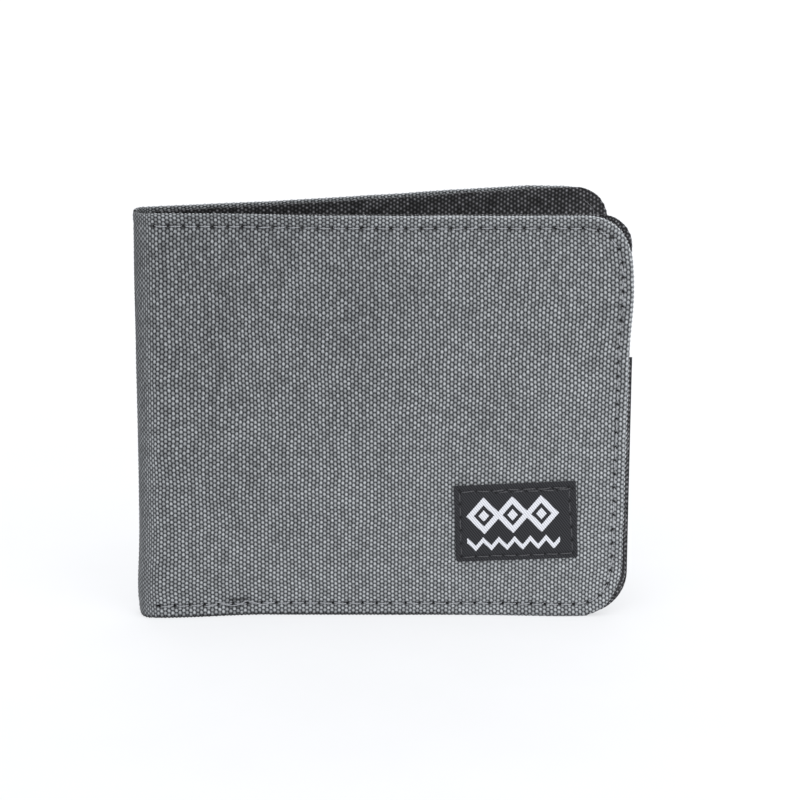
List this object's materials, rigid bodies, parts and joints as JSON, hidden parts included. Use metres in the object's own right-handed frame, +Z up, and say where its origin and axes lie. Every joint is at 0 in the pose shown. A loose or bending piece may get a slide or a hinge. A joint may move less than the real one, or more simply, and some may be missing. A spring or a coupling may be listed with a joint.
{
  "type": "bifold wallet",
  "caption": "Canvas bifold wallet standing slightly open, with rounded corners, stitched edges, a woven label, card pockets and a clear window pocket inside.",
  "frame": {"origin": "on the surface the wallet stands on, below the middle of its outline as it stands slightly open", "axes": "+X along the front half from the fold to its free edge, +Y from the front half towards the rear half, +Z up"},
  "size_m": [0.1124, 0.0332, 0.095],
  "materials": {
    "grey_canvas": "matte",
    "black_canvas": "matte",
    "board": "matte",
    "lining": "satin",
    "binding_tape": "matte",
    "clear_sheet": "gloss",
    "label_weave": "satin",
    "grey_thread": "satin",
    "black_thread": "satin"
  },
  "bodies": {
    "front_half": {"front_cover": "grey_canvas", "front_top_hem": "grey_canvas", "front_side_hem": "grey_canvas", "front_bottom_hem": "grey_canvas", "front_board": "board", "front_lining": "lining", "front_divider": "black_canvas", "front_divider_top_turn": "black_canvas", "front_divider_side_turn": "black_canvas", "front_divider_bottom_turn": "black_canvas", "window_frame": "black_canvas", "window_sheet": "clear_sheet", "window_binding": "binding_tape", "label": "label_weave", "label_stitching": "black_thread", "front_stitching": "grey_thread"},
    "spine": {"spine_cover": "grey_canvas", "spine_top_hem": "grey_canvas", "spine_bottom_hem": "grey_canvas", "spine_lining": "lining"},
    "rear_half": {"rear_cover": "grey_canvas", "rear_top_hem": "grey_canvas", "rear_side_hem": "grey_canvas", "rear_bottom_hem": "grey_canvas", "rear_board": "board", "rear_lining": "lining", "rear_divider": "black_canvas", "rear_divider_top_turn": "black_canvas", "rear_divider_side_turn": "black_canvas", "rear_divider_bottom_turn": "black_canvas", "card_pocket_top": "black_canvas", "card_pocket_middle": "black_canvas", "card_pocket_bottom": "black_canvas", "binding_top": "binding_tape", "binding_middle": "binding_tape", "binding_bottom": "binding_tape", "rear_stitching": "grey_thread"}
  },
  "joints": [
    {"name": "front_crease", "type": "hinge", "parent": "front_half", "child": "spine", "pos_m": [-0.055, -0.01532, 0.0475], "axis": [0, 0, 1], "range_deg": [-7.15, 82.85]},
    {"name": "rear_crease", "type": "hinge", "parent": "spine", "child": "rear_half", "pos_m": [-0.05546, -0.01167, 0.0475], "axis": [0, 0, 1], "range_deg": [-7.15, 82.85]}
  ],
  "couplings": [
    {"joint": "rear_crease", "follows": "front_crease", "ratio": 1}
  ]
}
